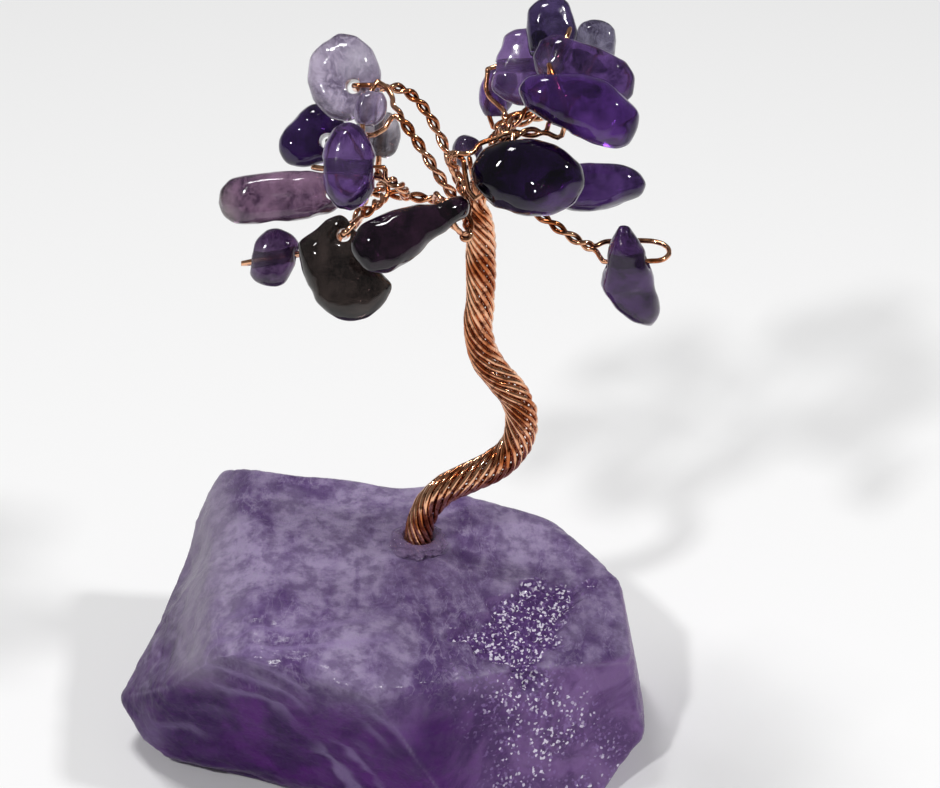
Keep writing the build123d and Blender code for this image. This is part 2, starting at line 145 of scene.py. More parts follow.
def press_in(piece, depth_at):
    """Moves each point inwards, along its normal, by the depth that a function gives for its place."""
    points = piece.data.vertices
    move_points(piece, [vert.co - vert.normal * depth_at(vert.co) for vert in points])


def add_mask(piece, label, shares):
    """Writes one value for each point on the mesh, where a material can read it."""
    mask = piece.data.attributes.new(label, "FLOAT", "POINT")
    mask.data.foreach_set("value", shares)


def step(value, low, high):
    """A smooth step from 0 at low to 1 at high."""
    share = max(0.0, min(1.0, (value - low) / (high - low)))
    return share * share * (3 - 2 * share)


def hand_over(piece, node):
    """The piece stands for its solid, which is hidden, and rides on the solid's body."""
    activate(piece)
    bpy.ops.object.shade_smooth()
    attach(piece, node_body[node])
    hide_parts(node)
    return piece


# %% [markdown]
# Every material here is a net of small nodes. It could be drawn by hand in the shader editor, but
# then it couldn't be repeated. Written as code, most of it is the same few moves: read a noise
# pattern, stretch it to a useful range, and mix two colours by it. Each move has a helper.

# %% Helpers for materials
per_metre = 1 / mm


def rgb(red, green, blue):
    """An opaque colour."""
    return (red, green, blue, 1.0)


def new_material(name):
    """An empty node material with its nodes and its shader."""
    material = bpy.data.materials.new(name)
    material.use_nodes = True
    return material, material.node_tree, material.node_tree.nodes["Principled BSDF"]


def new_group(name, inputs, outputs):
    """A shader group with its named sockets, and the nodes that hold them."""
    tree = bpy.data.node_groups.new(name, "ShaderNodeTree")
    for label, kind, value in inputs:
        socket = tree.interface.new_socket(label, in_out="INPUT", socket_type=kind)
        socket.default_value = value
    for label, kind in outputs:
        tree.interface.new_socket(label, in_out="OUTPUT", socket_type=kind)
    return tree, tree.nodes.new("NodeGroupInput"), tree.nodes.new("NodeGroupOutput")


def use_group(tree, group, **values):
    """Places a group in a material, with its own values."""
    node = tree.nodes.new("ShaderNodeGroup")
    node.node_tree = group
    for key, value in values.items():
        node.inputs[key].default_value = value
    return node


def add_node(tree, kind, links=(), **values):
    """Adds a node, sets its values by name and links its inputs."""
    node = tree.nodes.new(kind)
    for key, value in values.items():
        if hasattr(node, key):
            setattr(node, key, value)
        else:
            node.inputs[key].default_value = value
    for key, socket in dict(links).items():
        tree.links.new(socket, node.inputs[key])
    return node


def feed(tree, value, socket):
    """Links an input to another node's output, or sets it where the value is a plain one."""
    if isinstance(value, bpy.types.NodeSocket):
        tree.links.new(value, socket)
    else:
        socket.default_value = value


def feed_shader(tree, shader, **values):
    """Feeds the shader's inputs by name, with an underscore for each space."""
    for key, value in values.items():
        feed(tree, value, shader.inputs[key.replace("_", " ")])


def mixed(tree, share, first, second):
    """Two colours mixed by a share."""
    node = add_node(tree, "ShaderNodeMix", data_type="RGBA")
    for index, value in ((0, share), (6, first), (7, second)):
        feed(tree, value, node.inputs[index])
    return node.outputs[2]


def worked_out(tree, operation, *values):
    """One sum, such as a product, worked out from its values."""
    node = add_node(tree, "ShaderNodeMath", operation=operation)
    for index, value in enumerate(values):
        feed(tree, value, node.inputs[index])
    return node.outputs[0]


def ranged(tree, socket, low, high, first=0.0, last=1.0):
    """A value mapped from one range to another and clamped, along a smooth step."""
    node = add_node(tree, "ShaderNodeMapRange", {"Value": socket}, interpolation_type="SMOOTHSTEP")
    for key, value in (("From Min", low), ("From Max", high), ("To Min", first), ("To Max", last)):
        node.inputs[key].default_value = value
    return node.outputs["Result"]


def place_in(tree):
    """The place of each point of the piece, in metres."""
    return add_node(tree, "ShaderNodeTexCoord").outputs["Object"]


def noise_at(tree, place, scale, detail, **values):
    """A noise pattern with about this many patches to a millimetre."""
    node = add_node(
        tree, "ShaderNodeTexNoise", {"Vector": place}, Scale=scale * per_metre, Detail=detail, **values
    )
    return node.outputs["Fac"]


def mask_on(tree, label):
    """The values that add_mask wrote on the mesh."""
    return add_node(tree, "ShaderNodeAttribute", attribute_name=label).outputs["Fac"]


def bumped(tree, height, strength, distance):
    """The normal of a skin that a pattern raises by up to a distance."""
    bump = add_node(tree, "ShaderNodeBump", {"Height": height}, Strength=strength, Distance=distance)
    return bump.outputs["Normal"]


# %% [markdown]
# Inside a tumbled amethyst the colour lies in clouds and thin veils. They could be painted as an
# image, but each stone would need its own. Noise needs no image, and a seed gives each stone its own
# pattern. The group mixes a deep and a pale tone by soft noise, stretched along a slanted direction,
# and adds sharper veils where a second noise crosses its middle value. It only gives out a colour and
# a mask, so each stone keeps its own shader.

# %% The clouds group
cloud_slant = (0.5, 0.7, 0.4)
cloud_stretch = 0.45
veil_patches = 0.9
veil_width = 0.035

clouds, group_in, group_out = new_group(
    "stone_clouds",
    [("Deep", "NodeSocketColor", rgb(0.2, 0.1, 0.4)), ("Pale", "NodeSocketColor", rgb(0.7, 0.6, 0.8)),
     ("Size", "NodeSocketFloat", 0.5), ("Seed", "NodeSocketFloat", 0.0), ("Veil", "NodeSocketFloat", 0.3)],
    [("Colour", "NodeSocketColor"), ("Mask", "NodeSocketFloat")],
)
slanted = add_node(clouds, "ShaderNodeMapping", {"Vector": place_in(clouds)})
slanted.inputs["Rotation"].default_value = cloud_slant
slanted.inputs["Scale"].default_value = (per_metre, per_metre * cloud_stretch, per_metre)
along = {"Vector": slanted.outputs["Vector"], "W": group_in.outputs["Seed"]}
soft = add_node(
    clouds, "ShaderNodeTexNoise", {**along, "Scale": group_in.outputs["Size"]},
    noise_dimensions="4D", Detail=4.0, Roughness=0.6, Distortion=0.8,
)
cloud_mask = ranged(clouds, soft.outputs["Fac"], 0.38, 0.62)
folded = add_node(
    clouds, "ShaderNodeTexNoise", along,
    noise_dimensions="4D", Scale=veil_patches, Detail=5.0, Roughness=0.6, Distortion=1.4,
)
off_middle = worked_out(clouds, "ABSOLUTE", worked_out(clouds, "SUBTRACT", folded.outputs["Fac"], 0.5))
veil = ranged(clouds, off_middle, 0.0, veil_width, 1.0, 0.0)
veil_share = worked_out(clouds, "MULTIPLY", veil, group_in.outputs["Veil"])
mask = worked_out(clouds, "MAXIMUM", cloud_mask, veil_share)
cloud_colour = mixed(clouds, mask, group_in.outputs["Deep"], group_in.outputs["Pale"])
clouds.links.new(cloud_colour, group_out.inputs["Colour"])
clouds.links.new(mask, group_out.inputs["Mask"])
print("group", clouds.name)

# %% [markdown]
# Druzy stone glitters because it is covered with tiny flat crystal faces, each tilted its own way.
# Modelled one by one they would be far too many. A Voronoi pattern splits the skin into small cells
# with one random colour each, and that colour is used as a tilt of the normal, so each cell mirrors a
# lamp from its own angle.

# %% The sparkle group
sparkle, group_in, group_out = new_group(
    "crystal_sparkle",
    [("Grains", "NodeSocketFloat", 3.0), ("Tilt", "NodeSocketFloat", 0.6)],
    [("Normal", "NodeSocketVector"), ("Glint", "NodeSocketFloat")],
)
whole = {0: place_in(sparkle)}
scaled = add_node(sparkle, "ShaderNodeVectorMath", whole, operation="SCALE", Scale=per_metre)
cells = {"Vector": scaled.outputs[0], "Scale": group_in.outputs["Grains"]}
grain = add_node(sparkle, "ShaderNodeTexVoronoi", cells)
centred = add_node(sparkle, "ShaderNodeVectorMath", {0: grain.outputs["Color"]}, operation="SUBTRACT")
centred.inputs[1].default_value = (0.5, 0.5, 0.5)
tilt = {0: centred.outputs[0], "Scale": group_in.outputs["Tilt"]}
tilted = add_node(sparkle, "ShaderNodeVectorMath", tilt, operation="SCALE")
facing = add_node(sparkle, "ShaderNodeNewGeometry").outputs["Normal"]
summed = add_node(sparkle, "ShaderNodeVectorMath", {0: facing, 1: tilted.outputs[0]}, operation="ADD")
unit = add_node(sparkle, "ShaderNodeVectorMath", {0: summed.outputs[0]}, operation="NORMALIZE")
parts = add_node(sparkle, "ShaderNodeSeparateXYZ", {0: grain.outputs["Color"]})
sparkle.links.new(unit.outputs[0], group_out.inputs["Normal"])
sparkle.links.new(parts.outputs[2], group_out.inputs["Glint"])
print("group", sparkle.name)

# %% [markdown]
# The wire is bright bare copper, drawn and then bent by hand. One even orange would look like
# plastic. Copper reflects in its own colour, so it is a full metal, and handling leaves redder
# patches, dark flecks and very fine lines on it. The near-black in the grooves between strands is
# painted shade. It comes from a mask on the mesh, because a noise pattern can't know where two
# strands lie side by side.

# %% Copper
copper_bright = rgb(0.92, 0.50, 0.30)
copper_red = rgb(0.50, 0.15, 0.05)
copper_fleck = rgb(0.17, 0.045, 0.016)
# Near black, for painted shade in the grooves between strands.
copper_painted_shade = rgb(0.050, 0.014, 0.006)


def make_copper():
    """Bright copper with redder patches, dark flecks and painted shade in the grooves."""
    material, tree, shader = new_material("bare_copper")
    place = place_in(tree)
    patches = noise_at(tree, place, 0.7, 3.0)
    flecks = noise_at(tree, place, 3.2, 2.0)
    fine_lines = noise_at(tree, place, 9.0, 2.0)
    colour = mixed(tree, ranged(tree, patches, 0.40, 0.66), copper_bright, copper_red)
    colour = mixed(tree, ranged(tree, flecks, 0.50, 0.68, 0.0, 0.75), colour, copper_fleck)
    # Painted shade: the grooves between strands are darkened in the colour.
    colour = mixed(tree, mask_on(tree, "painted_groove_shade"), colour, copper_painted_shade)
    roughness = ranged(tree, patches, 0.3, 0.8, 0.09, 0.20)
    normal = bumped(tree, fine_lines, 0.2, 0.02 * mm)
    feed_shader(tree, shader, Base_Color=colour, Roughness=roughness, Normal=normal, Metallic=1.0)
    return material


copper = make_copper()
print("material", copper.name)

# %% [markdown]
# Each solid of a wire is swept with five flat sides through the places where the wire bends. Smoothing
# that mesh would thin it, and its corners would still show. The middles of its five-cornered rings
# give back the wire's own line, and a round wire can be drawn along that. The rings are found by
# walking over the mesh from one cut end to the other.

# %% The wires' own lines
end_upright = 0.8
same_plane = 0.999


def lowest_end(shape):
    """The five corners of the wire's end that lies lowest, at the bottom of the bore."""
    lowest = min(shape.verts, key=lambda vert: vert.co.z)
    flat = [face for face in lowest.link_faces if abs(face.normal.z) > end_upright]
    ring = {vert for face in flat for vert in face.verts}
    grown = True
    while grown:
        grown = False
        for vert in list(ring):
            for face in vert.link_faces:
                in_plane = abs(face.normal.dot(flat[0].normal)) > same_plane
                if in_plane and not set(face.verts) <= ring:
                    ring |= set(face.verts)
                    grown = True
    return ring


def ring_middles(mesh):
    """The middles of the rings of a swept wire, from one end to the other."""
    shape = bmesh.new()
    shape.from_mesh(mesh)
    start = lowest_end(shape)
    seen = set(start)
    level = list(start)
    middles = []
    while level:
        middles.append(sum((vert.co for vert in level), Vector()) / len(level))
        ahead = {edge.other_vert(vert) for vert in level for edge in vert.link_edges} - seen
        seen |= ahead
        level = list(ahead)
    shape.free()
    return middles


wires = [node for node in slots if node.endswith("_wire")]
print("wires", len(wires))

# %% [markdown]
# A hand-twisted trunk never lies quite evenly. The lines could be redrawn by eye, but they would soon
# miss their chips. So below the fork each line is shifted a little by smooth noise, and above it stays
# where its solid is. Blender offsets noise that gives a direction by the clock, so it gets a fixed
# seed, and the trunk comes out the same in every run. A round wire also swells a hair past its
# five-sided solid in a bend, so its points are held inside the box of the solid. Last, each point of a
# wire counts the points close in front of it that look back at it, and where it finds some there is a
# groove, which the copper's colour darkens as painted shade.

# %% How the wires lie, and their painted groove shade
fork_height = 36 * mm
slack_fade = 2 * mm
slack_size = 0.9 * mm
slack_reach = 0.09 * mm
slack_seed = 5
groove_reach = 0.1 * mm
groove_count = 3
groove_facing = -0.2
noise.seed_set(slack_seed)


def twist_slack(place):
    """How far a strand is shifted at a place: a little below the fork, and not at all above it."""
    share = min(1.0, max(0.0, (fork_height - place.z) / slack_fade))
    return noise.noise_vector(place / slack_size) * slack_reach * share


def keep_inside(piece, node):
    """Holds every point of a wire inside its solid's box."""
    low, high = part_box(node)
    for vert in piece.data.vertices:
        vert.co = [min(max(vert.co[axis], low[axis]), high[axis]) for axis in range(3)]


def mark_painted_groove_shade(pieces):
    """Marks where a strand faces a close neighbour, for painted shade in the groove."""
    spots = [(vert.co.copy(), vert.normal.copy()) for piece in pieces for vert in piece.data.vertices]
    tree = kdtree.KDTree(len(spots))
    for index, (at, out) in enumerate(spots):
        tree.insert(at, index)
    tree.balance()
    marked = 0
    for piece in pieces:
        shares = []
        for vert in piece.data.vertices:
            near = tree.find_range(vert.co + vert.normal * groove_reach, groove_reach)
            facing = [index for at, index, gap in near if spots[index][1].dot(vert.normal) < groove_facing]
            shares.append(min(1.0, len(facing) / groove_count))
        add_mask(piece, "painted_groove_shade", shares)
        marked += sum(share > 0 for share in shares)
    print("points in grooves", marked, "of", len(spots))


# %% [markdown]
# The wire itself is a curve with a round bevel. It could be a chain of cylinders, but those would
# break at every bend. A smooth curve through the middles bends as drawn wire does. It is turned into
# a mesh at the end, so that its points can be held in and marked.

# %% The wires
wire_radius = 0.15 * mm
bend_steps = 4
bevel_steps = 2


def round_wire(node, middles):
    """A round copper wire along a line."""
    curve = bpy.data.curves.new(node, "CURVE")
    curve.dimensions = "3D"
    curve.resolution_u = bend_steps
    curve.bevel_depth = wire_radius
    curve.bevel_resolution = bevel_steps
    curve.use_fill_caps = True
    line = curve.splines.new("BEZIER")
    line.bezier_points.add(len(middles) - 1)
    for point, place in zip(line.bezier_points, middles):
        point.co = place
        point.handle_left_type = "AUTO"
        point.handle_right_type = "AUTO"
    piece = bpy.data.objects.new("round_" + node, curve)
    bpy.context.scene.collection.objects.link(piece)
    activate(piece)
    bpy.ops.object.convert(target="MESH")
    return bpy.context.object


round_wires = []
for node in wires:
    solid = copy_of(node, "route")
    middles = [place + twist_slack(place) for place in ring_middles(solid.data)]
    bpy.data.objects.remove(solid)
    piece = round_wire(node, middles)
    keep_inside(piece, node)
    piece.data.materials.clear()
    piece.data.materials.append(copper)
    hand_over(piece, node)
    round_wires.append(piece)
    print(node, len(middles), "places", len(piece.data.polygons), "faces")
mark_painted_groove_shade(round_wires)

# %% [markdown]
# A tumbled chip has no edge left anywhere, but it is not a regular egg: it keeps shallow dents and
# flats. A scaled ball would lose the chip's own outline and its hole. So the copy is rebuilt as even
# small faces and smoothed. Smoothing would also shrink the hole, so the points that look across the
# hole are left out of most of it. On one chip the hollow in its side is first filled a little, as the
# photo shows it shallow. Last, soft noise presses dents in. It only ever presses inwards, so the chip
# stays clear of its neighbours.

# %% The chips' shapes
chip_voxel = 0.1 * mm
edge_passes = 8
usual_skin_passes = 46
skin_passes = {"smoky_chip": 120}
hollow_passes = {"smoky_chip": 130}
bore_reach = 1.3 * mm
ray_lift = 0.02 * mm
dent_depth = 0.26 * mm
dent_size = 1.7 * mm
fine_dents = 2.3
fine_dent_share = 0.25
dent_shift = (3.7, 1.3, 2.1)


def mark_skin(piece):
    """Puts every point that doesn't look across a bore into the group skin."""
    piece.vertex_groups.clear()
    skin = piece.vertex_groups.new(name="skin")
    points = [(vert.index, vert.co.copy(), vert.normal.copy()) for vert in piece.data.vertices]
    outer = []
    for index, at, out in points:
        if not piece.ray_cast(at + out * ray_lift, out, distance=bore_reach)[0]:
            outer.append(index)
    skin.add(outer, 1.0, "REPLACE")


def round_out(piece, passes):
    """Fills the hollows of a piece's skin a little more at each pass, and leaves what bulges."""
    group = piece.vertex_groups["skin"].index
    skin = [any(share.group == group for share in vert.groups) for vert in piece.data.vertices]
    near = [[] for vert in piece.data.vertices]
    for edge in piece.data.edges:
        first, second = edge.vertices
        near[first].append(second)
        near[second].append(first)
    places = [vert.co.copy() for vert in piece.data.vertices]
    normals = [vert.normal.copy() for vert in piece.data.vertices]
    for turn in range(passes):
        middles = [sum((places[other] for other in beside), Vector()) / len(beside) for beside in near]
        for index, middle in enumerate(middles):
            if skin[index] and (middle - places[index]).dot(normals[index]) > 0:
                places[index] = middle
    move_points(piece, places)


def pebble(node, seed):
    """A smooth, slightly dented pebble made from a chip's solid."""
    piece = copy_of(node, "polished_" + node)
    if node in hollow_passes:
        rebuild(piece, 2 * chip_voxel)
        mark_skin(piece)
        round_out(piece, hollow_passes[node])
    rebuild(piece, chip_voxel)
    mark_skin(piece)
    smooth(piece, edge_passes)
    smooth(piece, skin_passes.get(node, usual_skin_passes), "skin")
    away = Vector([seed * shift for shift in dent_shift])

    def dents(place):
        at = place / dent_size + away
        fine = fine_dent_share * max(0.0, noise.noise(at * fine_dents))
        return dent_depth * (max(0.0, noise.noise(at)) + fine)

    press_in(piece, dents)
    smooth(piece, edge_passes)
    return piece


# %% [markdown]
# The chips are one mineral in many tints, cloudy inside and highly polished outside. Clear glass would
# show the wire in every bore, and plain paint would look dead. So the body is a blurred glass whose
# colour changes in clouds, veils and pale specks, with a weak absorption for depth. It gives no
# highlights of its own. Those come from a clear coat on top, which stays sharp. One ragged spot on
# each chip is painted light: a brighter glow in its colour where the light leaves it again.

# %% The chips' finish
chip_density = 130
spot_ragged = 1.6 * mm
coat_strength = 0.6
coat_blur = 0.03
most_blur = 0.2
least_blur = 0.05
blur_by_tone = 1.3


def painted_glow_mask(tree, place, box, spot, reach):
    """A round spot of painted glow with a ragged rim: 1 in its middle, 0 beyond its reach."""
    low, high = box
    away = add_node(tree, "ShaderNodeVectorMath", {0: place}, operation="DISTANCE")
    away.inputs[1].default_value = [low[axis] + spot[axis] * (high[axis] - low[axis]) for axis in range(3)]
    wander = noise_at(tree, place, 0.9, 3.0)
    ragged = worked_out(tree, "MULTIPLY_ADD", wander, -spot_ragged, away.outputs["Value"])
    return ranged(tree, ragged, -spot_ragged / 2, reach * mm - spot_ragged / 2, 1.0, 0.0)


def polished_stone(name, look, deep, pale, box, seed):
    """Cloudy tumbled stone: blurred glass in cloudy tones under a sharp coat, with one painted glow spot.
    """
    material, tree, shader = new_material(name)
    place = place_in(tree)
    own = {"Size": look.size, "Seed": seed, "Veil": look.veil}
    pattern = use_group(tree, clouds, Deep=rgb(*deep), Pale=rgb(*pale), **own)
    spot = painted_glow_mask(tree, place, box, look.spot, look.reach)
    specks = noise_at(tree, place, 1.1, 5.0, Roughness=0.6)
    # Painted light: a brighter glow tone is mixed into the colour at the spot.
    colour = mixed(tree, spot, pattern.outputs["Colour"], rgb(*look.spot_tone))
    colour = mixed(tree, ranged(tree, specks, 0.52, 0.70, 0.0, 0.8), colour, rgb(*pale))
    blur = min(most_blur, least_blur + blur_by_tone * pale[1])
    roughness = ranged(tree, pattern.outputs["Mask"], 0.0, 1.0, 0.7 * blur, blur)
    normal = bumped(tree, noise_at(tree, place, 1.1, 3.0), 0.38, 0.05 * mm)
    feed_shader(tree, shader, Base_Color=colour, Roughness=roughness, Normal=normal, Coat_Normal=normal)
    feed_shader(tree, shader, IOR=1.3, Specular_IOR_Level=0.0, Transmission_Weight=0.75)
    feed_shader(tree, shader, Coat_Weight=coat_strength, Coat_Roughness=coat_blur)
    inside = add_node(tree, "ShaderNodeVolumeAbsorption", Color=rgb(*look.tint), Density=chip_density)
    tree.links.new(inside.outputs["Volume"], tree.nodes["Material Output"].inputs["Volume"])
    return material


# %% [markdown]
# Each chip's look is its own, as no two in the photo match. They could be drawn at random, but then a
# pale chip might hang where the photo has a dark one. So every chip has a row: the tint that light
# takes inside it, its deep and its pale tone, how strong the veils and how many the clouds to a
# millimetre are, and its spot, with a place from 0 to 1 along each side of the chip's box, a reach in
# millimetres and a tone. The tones are listed here, and two factors then set how far the deep
# and the pale ones lie apart. The palest three chips, whose names end in lilac, have their own factors.

# %% The chips' looks
# The spot in each row is painted light, a glow in the chip's colour where light leaves it.
Look = namedtuple("Look", "tint deep pale veil size spot reach spot_tone")
violet = (0.45, 0.12, 0.65)
lilac = (0.62, 0.50, 0.72)
wine = (0.55, 0.30, 0.50)
tone_factors = (0.52, 1.04)
palest_factors = (0.6175, 1.235)

chip_looks = {
    "pale_lilac": Look(lilac, (0.27, 0.21, 0.35), (0.56, 0.50, 0.615), 0.8, 0.5,
                       (0.7, 0.5, 0.7), 1.6, (0.60, 0.57, 0.66)),
    "lens_lilac": Look(lilac, (0.27, 0.19, 0.37), (0.52, 0.44, 0.60), 0.5, 0.5,
                       (0.5, 0.5, 0.4), 1.0, (0.60, 0.54, 0.66)),
    "grey_lilac": Look(lilac, (0.26, 0.24, 0.28), (0.48, 0.46, 0.50), 0.4, 0.5,
                       (0.6, 0.5, 0.4), 1.0, (0.50, 0.48, 0.52)),
    "deep_violet": Look(violet, (0.014, 0.005, 0.034), (0.036, 0.014, 0.085), 0.3, 0.4,
                        (0.3, 0.5, 0.7), 1.2, (0.06, 0.03, 0.13)),
    "violet_oval": Look(violet, (0.065, 0.020, 0.140), (0.19, 0.10, 0.32), 0.6, 0.5,
                        (0.4, 0.2, 0.8), 1.8, (0.25, 0.16, 0.38)),
    "rose_rod": Look(wine, (0.110, 0.052, 0.125), (0.30, 0.18, 0.28), 0.9, 0.6,
                     (0.05, 0.3, 0.4), 1.7, (0.42, 0.35, 0.36)),
    "lilac_shard": Look(violet, (0.050, 0.020, 0.085), (0.16, 0.09, 0.20), 0.8, 0.7,
                        (0.1, 0.3, 0.6), 1.3, (0.40, 0.35, 0.45)),
    "smoky": Look(wine, (0.014, 0.010, 0.009), (0.050, 0.038, 0.033), 0.5, 0.5,
                  (0.7, 0.3, 0.1), 1.8, (0.080, 0.055, 0.048)),
    "plum": Look(wine, (0.009, 0.003, 0.011), (0.034, 0.013, 0.030), 0.5, 0.5,
                 (0.3, 0.3, 0.2), 1.3, (0.080, 0.040, 0.085)),
    "violet_sliver": Look(violet, (0.12, 0.06, 0.24), (0.26, 0.15, 0.42), 0.5, 0.5,
                          (0.5, 0.5, 0.4), 1.2, (0.33, 0.21, 0.50)),
    "violet_slab": Look(violet, (0.12, 0.055, 0.22), (0.29, 0.18, 0.44), 0.5, 0.5,
                        (0.3, 0.5, 0.6), 2.0, (0.38, 0.25, 0.53)),
    "indigo_top": Look(violet, (0.026, 0.014, 0.066), (0.100, 0.068, 0.190), 0.5, 0.5,
                       (0.6, 0.4, 0.6), 1.0, (0.16, 0.13, 0.26)),
    "grey_violet": Look(lilac, (0.090, 0.070, 0.150), (0.31, 0.29, 0.40), 0.7, 0.7,
                        (0.4, 0.3, 0.4), 1.2, (0.40, 0.39, 0.46)),
    "royal_purple": Look(violet, (0.034, 0.011, 0.085), (0.150, 0.075, 0.260), 0.8, 0.7,
                         (0.2, 0.4, 0.6), 1.3, (0.30, 0.22, 0.42)),
    "large_front": Look(violet, (0.026, 0.007, 0.065), (0.095, 0.032, 0.210), 0.5, 0.35,
                        (0.62, 0.1, 0.1), 2.6, (0.28, 0.11, 0.52)),
    "big_dark": Look(violet, (0.003, 0.001, 0.008), (0.014, 0.004, 0.034), 0.2, 0.4,
                     (0.80, 0.05, 0.15), 2.6, (0.24, 0.07, 0.46)),
    "long_violet": Look(violet, (0.036, 0.014, 0.085), (0.105, 0.048, 0.200), 0.6, 0.5,
                        (0.7, 0.4, 0.3), 1.4, (0.17, 0.10, 0.30)),
    "grey_back": Look(lilac, (0.034, 0.018, 0.060), (0.110, 0.075, 0.160), 0.4, 0.5,
                      (0.5, 0.5, 0.5), 1.0, (0.16, 0.11, 0.22)),
    "hanging_violet": Look(violet, (0.018, 0.006, 0.038), (0.085, 0.036, 0.140), 0.7, 0.6,
                           (0.8, 0.3, 0.0), 2.1, (0.38, 0.27, 0.46)),
}

for seed, (name, look) in enumerate(chip_looks.items()):
    node = name + "_chip"
    deep_factor, pale_factor = palest_factors if name.endswith("lilac") else tone_factors
    deep = [value * deep_factor for value in look.deep]
    pale = [value * pale_factor for value in look.pale]
    piece = pebble(node, seed)
    piece.data.materials.append(polished_stone("polished_" + name, look, deep, pale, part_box(node), seed))
    hand_over(piece, node)
    print(node, len(piece.data.polygons), "faces")

# %% [markdown]
# The block's skin isn't the same all over. A druzy pocket opens at the front of its top, loose crystal
# faces glitter there and down the right end of the front, and faint bands show on the left, where it
# broke in thin shells. The masks could be painted on the mesh by hand, but a rule in numbers gives the
# same result each run and serves both the shape and the colour. Places are in millimetres here.

# %% Where the block's skin differs
druzy_corners = [(3.9, -5.2), (8.7, 0.9), (12.8, 1.5), (9.3, -7.6)]
druzy_edge = 0.7
druzy_heights = (6.0, 9.0)
front_depths = (4.0, 7.0)
streak_middle = 9.5
streak_lean = 0.25
streak_level = 8.0
streak_width = 3.6
strata_middle = Vector((-6.0, 4.0, 2.0))
strata_per_mm = 0.9
strata_shift = Vector((7, 3, 1))


def druzy_share(place):
    """How strongly the druzy patch shows at a place: 1 well inside its outline, 0 outside."""
    gaps = []
    for first, second in zip(druzy_corners, druzy_corners[1:] + druzy_corners[:1]):
        along = Vector(second) - Vector(first)
        gap = (place.x - first[0]) * along.y - (place.y - first[1]) * along.x
        gaps.append(gap / along.length)
    ragged = 0.8 * noise.noise(place * 0.9)
    return step(min(gaps) + ragged, -0.2, druzy_edge) * step(place.z, *druzy_heights)


def glitter_share(place):
    """Where loose crystal faces glitter: on the druzy patch and, thinner, down the front's right end."""
    streak = (place.x - streak_middle + streak_lean * (place.z - streak_level)) / streak_width
    uneven = 0.62 + 0.9 * noise.noise(place * 0.45)
    down_front = exp(-streak * streak) * step(-place.y, *front_depths) * uneven
    return max(druzy_share(place), down_front, 0.0)


def strata_share(place):
    """Faint bands along the front and left edges: round shells, bent and broken up by noise."""
    bent = 1.1 * noise.noise(place * 0.16) + 0.15 * noise.noise(place * 0.9)
    shell = (place - strata_middle).length * strata_per_mm + bent
    band = 1 - step(abs(shell - round(shell)), 0.08, 0.34)
    reach = step(4.0 - place.x, 0.0, 6.0) * step(-place.y, 2.0, 6.0)
    return band * reach * step(noise.noise(place * 0.22 + strata_shift), -0.25, 0.35)


block_masks = {"druzy": druzy_share, "glitter": glitter_share, "strata": strata_share}
print("block masks", *block_masks)

# %% [markdown]
# The block is broken, not cut: its flats are true, its edges are worn and its skin is uneven. Carving
# it by hand would lose the flats. So the copy is rebuilt as even faces and its edges are smoothed, and
# how far each point moves by that is kept, because worn edges are paler. Then noise at several sizes
# presses hollows, ripples and grain in, with the bands and the crystals of the druzy pocket. Close to
# the floor all of this fades out, so the block still stands flat.

# %% The block's shape
stone_voxel = 0.19 * mm
stone_passes = 45
wear_range = (0.04, 0.22)
foot_height = 0.4
ripple_scales = (0.45, 0.6, 1.2)


def dip(place, scale, depth):
    """The depth of smooth hollows with about this many to a millimetre."""
    return max(0.0, noise.noise(place * scale)) * depth


def block_wear(spot):
    """How deep the block's skin lies below its solid: hollows, ripples, grain, bands and crystals."""
    place = spot / mm
    stretched = Vector([value * scale for value, scale in zip(place, ripple_scales)])
    depth = dip(place, 0.17, 0.75)
    depth += dip(stretched, 1.0, 0.17)
    depth += dip(place, 1.7, 0.08) + dip(place, 3.6, 0.04)
    depth += strata_share(place) * 0.12
    crystals = 0.4 + 0.4 * abs(noise.noise(place * 2.1)) + 0.3 * abs(noise.noise(place * 4.0))
    depth += druzy_share(place) * crystals
    return depth * step(place.z, 0.0, foot_height) * mm


block = copy_of("base_stone", "rough_base_stone")
rebuild(block, stone_voxel)
sharp = [vert.co.copy() for vert in block.data.vertices]
smooth(block, stone_passes)
moved = [(vert.co - place).length / mm for vert, place in zip(block.data.vertices, sharp)]
add_mask(block, "worn", [step(length, *wear_range) for length in moved])
press_in(block, block_wear)
for label, share_at in block_masks.items():
    add_mask(block, label, [share_at(vert.co / mm) for vert in block.data.vertices])
lowest = min(vert.co.z for vert in block.data.vertices)
print("furthest worn edge in mm", round(max(moved), 2))
print("block", len(block.data.polygons), "faces, lowest", round(lowest / mm, 3))

# %% [markdown]
# The block's colour runs from a pale, greyish lavender on its weathered top, through a whitish corner
# at the back left, to deep violet at the front. It could be one cloudy tone all over, but the photo
# shows weather: pale worn edges, blotches, faint bands, and glints on the crystals. So each of these
# is laid over the one before by its own mask. The stone isn't clear like the chips. Light only goes a
# little way in, which subsurface scattering gives at less cost than glass.

# %% The block's finish
front_deep = rgb(0.028, 0.002, 0.068)
front_pale = rgb(0.092, 0.014, 0.165)
top_deep = rgb(0.130, 0.075, 0.210)
top_pale = rgb(0.330, 0.265, 0.420)
dark_blotch = rgb(0.055, 0.022, 0.105)
pale_blotch = rgb(0.38, 0.31, 0.48)
right_front_tone = rgb(0.28, 0.17, 0.38)
frost_tone = rgb(0.36, 0.32, 0.40)
worn_tone = rgb(0.33, 0.27, 0.41)
band_tone = rgb(0.30, 0.22, 0.42)
druzy_tone = rgb(0.105, 0.050, 0.180)
# Painted highlights: the tones of crystal glints, mixed into the colour.
painted_dull_glint = rgb(0.27, 0.17, 0.40)
painted_bright_glint = rgb(0.76, 0.70, 0.84)
block_cloud_size = 0.26


